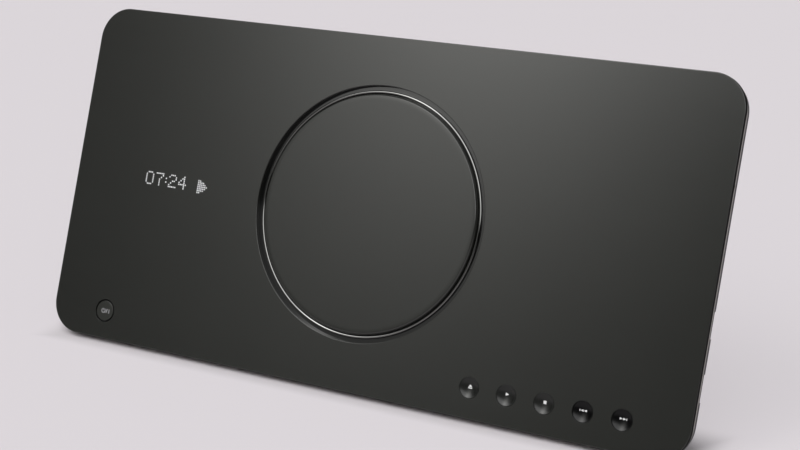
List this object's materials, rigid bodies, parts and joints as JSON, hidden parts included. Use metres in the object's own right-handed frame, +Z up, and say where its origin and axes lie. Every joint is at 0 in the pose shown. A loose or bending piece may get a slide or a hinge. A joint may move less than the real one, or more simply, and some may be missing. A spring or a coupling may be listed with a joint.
{
  "type": "dvd player",
  "caption": "Flat slot-in disc player with a gloss front panel, ring channel and round keys, leaning back on a folding rear leg.",
  "frame": {"origin": "on the floor under the middle of the footprint, leg unfolded", "axes": "+X to the right as the front is seen, -Y the way the front faces, +Z up; the front panel leans back 20.42 degrees from upright"},
  "size_m": [0.36, 0.107, 0.168],
  "materials": {
    "panel_gloss": "piano-black gloss, hard coat",
    "ring_gloss": "gloss black moulded ring",
    "trim_metal": "satin champagne-grey paint",
    "cover_black": "fine-grained black",
    "key_black": "gloss black, printed symbols",
    "leg_black": "fine-grained black",
    "rubber_black": "matt rubber",
    "felt_black": "black felt",
    "steel_zinc": "zinc-plated sheet",
    "steel_bright": "ground steel",
    "screw_black": "black zinc",
    "screw_steel": "zinc-plated",
    "circuit_board": "green solder mask",
    "part_black": "moulded black",
    "display_glass": "smoked glass",
    "flat_cable": "white flat cable",
    "sink_aluminium": "extruded",
    "capacitor_sleeve": "sleeved cans",
    "coil_ferrite": "ferrite",
    "jack_plastic": "black block with coloured barrels",
    "socket_metal": "nickel shell",
    "motor_can": "nickel-plated can",
    "gear_plastic": "white acetal",
    "lens_holder": "lens in a black holder"
  },
  "bodies": {
    "player": {"front_panel": "panel_gloss", "ring_insert": "ring_gloss", "trim_frame": "trim_metal", "rear_cover": "cover_black", "slot_bezel": "cover_black", "slot_felts": "felt_black", "cover_screws": "screw_black", "key_switches": "part_black", "key_board": "circuit_board", "power_key_board": "circuit_board", "display_board": "circuit_board", "display_module": "display_glass", "remote_sensor": "part_black", "key_flat_cable": "flat_cable", "front_flat_cable": "flat_cable", "loader_flat_cable": "flat_cable", "chassis_plate": "steel_zinc", "chassis_screws": "screw_steel", "board_screws": "screw_steel", "main_board": "circuit_board", "regulator_board": "circuit_board", "main_chips": "part_black", "heat_sink": "sink_aluminium", "board_capacitors": "capacitor_sleeve", "regulator_coils": "coil_ferrite", "component_jacks": "jack_plastic", "av_jacks": "jack_plastic", "hdmi_socket": "socket_metal", "dc_inlet": "part_black", "leg_pin": "steel_bright", "base_feet": "rubber_black", "loader_chassis": "steel_zinc", "loader_cover": "steel_zinc", "damper_bushes": "rubber_black", "damper_screws": "screw_steel", "spindle_motor": "motor_can", "clamp_leaf": "steel_zinc", "guide_rods": "steel_bright", "feed_motor": "motor_can", "loading_motor": "motor_can", "drive_belt": "rubber_black"},
    "key_eject": {"key_eject": "key_black"},
    "key_play": {"key_play": "key_black"},
    "key_stop": {"key_stop": "key_black"},
    "key_previous": {"key_previous": "key_black"},
    "key_next": {"key_next": "key_black"},
    "key_power": {"key_power": "key_black"},
    "leg": {"stand_leg": "leg_black", "leg_foot": "rubber_black"},
    "spindle": {"turntable": "part_black", "clamp_puck": "part_black"},
    "sled": {"pickup_sled": "part_black"},
    "lens": {"pickup_lens": "lens_holder"},
    "feed_screw": {"lead_screw": "steel_bright"},
    "arm": {"roller_arm": "steel_zinc"},
    "roller": {"roller_shaft": "steel_bright", "roller_rubber": "rubber_black", "roller_gear": "gear_plastic"},
    "drive": {"pulley_gear": "gear_plastic"},
    "motor_rotor": {"motor_pulley": "steel_bright"}
  },
  "joints": [
    {"name": "key_eject_press", "type": "slide", "parent": "player", "child": "key_eject", "axis": [0, 0.9372, -0.3489], "range_m": [0, 0.0005], "stiffness_N_per_m": 1500},
    {"name": "key_play_press", "type": "slide", "parent": "player", "child": "key_play", "axis": [0, 0.9372, -0.3489], "range_m": [0, 0.0005], "stiffness_N_per_m": 1500},
    {"name": "key_stop_press", "type": "slide", "parent": "player", "child": "key_stop", "axis": [0, 0.9372, -0.3489], "range_m": [0, 0.0005], "stiffness_N_per_m": 1500},
    {"name": "key_previous_press", "type": "slide", "parent": "player", "child": "key_previous", "axis": [0, 0.9372, -0.3489], "range_m": [0, 0.0005], "stiffness_N_per_m": 1500},
    {"name": "key_next_press", "type": "slide", "parent": "player", "child": "key_next", "axis": [0, 0.9372, -0.3489], "range_m": [0, 0.0005], "stiffness_N_per_m": 1500},
    {"name": "key_power_press", "type": "slide", "parent": "player", "child": "key_power", "axis": [0, 0.9372, -0.3489], "range_m": [0, 0.0005], "stiffness_N_per_m": 1500},
    {"name": "leg_fold", "type": "hinge", "parent": "player", "child": "leg", "pos_m": [0, 0.01759, 0.10042], "axis": [1, 0, 0], "range_deg": [-39.09, 0]},
    {"name": "spindle_spin", "type": "hinge", "parent": "player", "child": "spindle", "pos_m": [0.093, -0.00881, 0.08037], "axis": [0, 0.9372, -0.3489], "continuous": true},
    {"name": "sled_track", "type": "slide", "parent": "player", "child": "sled", "axis": [1, 0, 0], "range_m": [-0.028, 0.0065]},
    {"name": "feed_screw_spin", "type": "hinge", "parent": "player", "child": "feed_screw", "pos_m": [0.063, 0.00819, 0.10712], "axis": [1, 0, 0], "range_deg": [-782, 3362]},
    {"name": "lens_focus", "type": "slide", "parent": "sled", "child": "lens", "axis": [0, 0.9372, -0.3489], "range_m": [-0.0004, 0.0004], "stiffness_N_per_m": 60},
    {"name": "arm_lift", "type": "hinge", "parent": "player", "child": "arm", "pos_m": [0.1485, -0.00207, 0.07786], "axis": [0, 0.3489, 0.9372], "range_deg": [-23.4, 0]},
    {"name": "roller_spin", "type": "hinge", "parent": "arm", "child": "roller", "pos_m": [0.1565, -0.003, 0.07821], "axis": [0, 0.3489, 0.9372], "continuous": true},
    {"name": "drive_spin", "type": "hinge", "parent": "player", "child": "drive", "pos_m": [0.14815, -0.03223, 0.01867], "axis": [0, 0.3489, 0.9372], "continuous": true},
    {"name": "motor_spin", "type": "hinge", "parent": "player", "child": "motor_rotor", "pos_m": [0.13195, -0.03167, 0.01846], "axis": [0, 0.3489, 0.9372], "continuous": true}
  ],
  "couplings": [
    {"joint": "feed_screw_spin", "follows": "sled_track", "rad_per_m": -2094.4},
    {"joint": "motor_spin", "follows": "drive_spin", "ratio": 2.6129}
  ]
}
